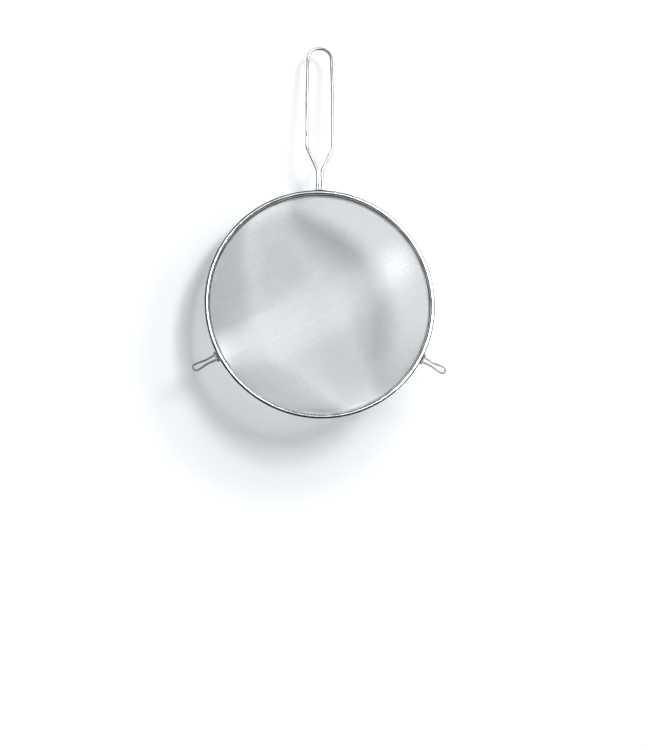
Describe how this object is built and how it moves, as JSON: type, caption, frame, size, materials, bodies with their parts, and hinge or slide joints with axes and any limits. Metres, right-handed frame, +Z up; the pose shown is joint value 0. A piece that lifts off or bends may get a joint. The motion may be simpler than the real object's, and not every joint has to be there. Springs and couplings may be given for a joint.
{
  "type": "handled sieve",
  "caption": "Round wire-mesh kitchen sieve with a rolled rim, a long wire-loop handle to hold or hang it by and small wire ears that rest on a pot.",
  "frame": {"origin": "the point inside the top of the handle loop by which the sieve hangs", "axes": "+Z up along the handle, +X to the right as seen into the open bowl, +Y from the open mouth towards the bottom of the bowl"},
  "size_m": [0.2636, 0.0846, 0.3968],
  "materials": {
    "wire_cloth": "bright drawn stainless wire, plain weave",
    "polished_strip": "polished stainless strip",
    "round_wire": "polished drawn stainless wire",
    "weld_metal": "cleaned weld, dull grey"
  },
  "bodies": {
    "root": {"mesh_bowl": "wire_cloth", "rim_strip": "polished_strip", "rim_hoop": "round_wire", "handle_loop": "round_wire", "handle_tab": "polished_strip", "handle_weld_left": "weld_metal", "handle_weld_right": "weld_metal", "ear_loop_left": "round_wire", "ear_loop_right": "round_wire", "ear_tab_left": "polished_strip", "ear_tab_right": "polished_strip", "ear_weld_left": "weld_metal", "ear_weld_right": "weld_metal"}
  },
  "joints": []
}
